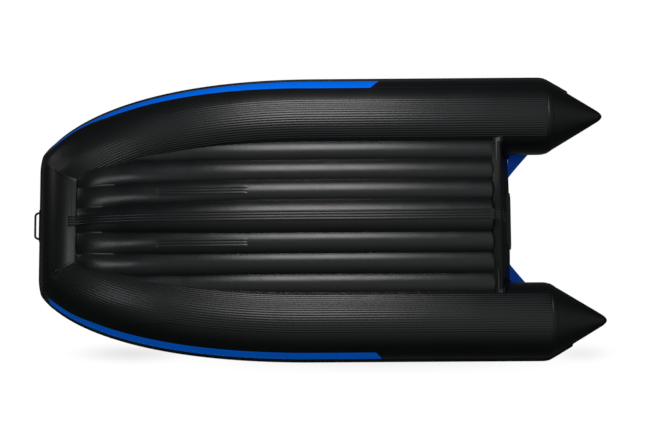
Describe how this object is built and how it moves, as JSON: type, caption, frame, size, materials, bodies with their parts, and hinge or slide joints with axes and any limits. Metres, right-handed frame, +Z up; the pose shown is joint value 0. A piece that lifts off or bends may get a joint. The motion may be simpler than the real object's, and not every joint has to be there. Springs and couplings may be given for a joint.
{
  "type": "inflatable dinghy",
  "caption": "Inflatable motor dinghy: two round buoyancy tubes joined by a raised bow tube, tail cones, an inflated ribbed floor, raked transom, sliding benches, rowlocks and rub rail.",
  "frame": {"origin": "on the ground under the middle of the hull, between the tail cones' tips and the bow handle", "axes": "+X to the bow, +Y to port, +Z up"},
  "size_m": [3.4, 1.6804, 0.6683],
  "materials": {
    "tube_fabric": "coated fabric, semi-gloss black",
    "floor_fabric": "coated fabric, satin black",
    "ridged_rubber": "ridged rubber, satin black",
    "rail_rubber": "moulded rubber, satin black",
    "blue_fabric": "coated fabric, semi-gloss blue",
    "transom_board": "laminated board, dark grey",
    "holder_rubber": "moulded rubber, dark grey",
    "moulded_plastic": "grained plastic, dark grey",
    "bench_board": "anodised board, light grey",
    "rowlock_plastic": "glass-filled nylon, black",
    "valve_plastic": "moulded plastic, dark grey"
  },
  "bodies": {
    "hull": {"tube_port": "tube_fabric", "tube_starboard": "tube_fabric", "tube_bow": "tube_fabric", "cone_port": "tube_fabric", "cone_starboard": "tube_fabric", "air_floor": "floor_fabric", "keel_strip": "ridged_rubber", "skid_strip_port": "ridged_rubber", "skid_strip_starboard": "ridged_rubber", "armour_port": "ridged_rubber", "armour_starboard": "ridged_rubber", "rub_rail_port": "rail_rubber", "rub_rail_starboard": "rail_rubber", "rail_band_port": "rail_rubber", "rail_band_starboard": "rail_rubber", "stripe_port": "blue_fabric", "stripe_starboard": "blue_fabric", "transom": "transom_board", "transom_holder_port": "holder_rubber", "transom_holder_starboard": "holder_rubber", "motor_pad_outer": "moulded_plastic", "motor_pad_inner": "moulded_plastic", "stern_apron": "floor_fabric", "drain_bush": "moulded_plastic", "gusset_port": "blue_fabric", "gusset_starboard": "blue_fabric", "seat_track_port": "holder_rubber", "seat_track_starboard": "holder_rubber", "rowlock_base_port": "moulded_plastic", "rowlock_base_starboard": "moulded_plastic", "bow_handle": "rail_rubber", "grip_aft_port": "rail_rubber", "grip_aft_starboard": "rail_rubber", "grip_fore_port": "rail_rubber", "grip_fore_starboard": "rail_rubber", "valve_port": "valve_plastic", "valve_starboard": "valve_plastic", "valve_bow": "valve_plastic", "valve_floor": "valve_plastic"},
    "front_bench": {"bench_front": "bench_board"},
    "rear_bench": {"bench_rear": "bench_board"},
    "port_rowlock": {"rowlock_port": "rowlock_plastic"},
    "starboard_rowlock": {"rowlock_starboard": "rowlock_plastic"}
  },
  "joints": [
    {"name": "front_bench_slide", "type": "slide", "parent": "hull", "child": "front_bench", "axis": [1, 0, 0], "range_m": [-0.1, 0.08]},
    {"name": "rear_bench_slide", "type": "slide", "parent": "hull", "child": "rear_bench", "axis": [1, 0, 0], "range_m": [-0.1, 0.1]},
    {"name": "port_rowlock_swivel", "type": "hinge", "parent": "hull", "child": "port_rowlock", "pos_m": [-0.45, 0.604, 0.4836], "axis": [0, 0, 1], "continuous": true},
    {"name": "starboard_rowlock_swivel", "type": "hinge", "parent": "hull", "child": "starboard_rowlock", "pos_m": [-0.45, -0.604, 0.4836], "axis": [0, 0, 1], "continuous": true}
  ]
}
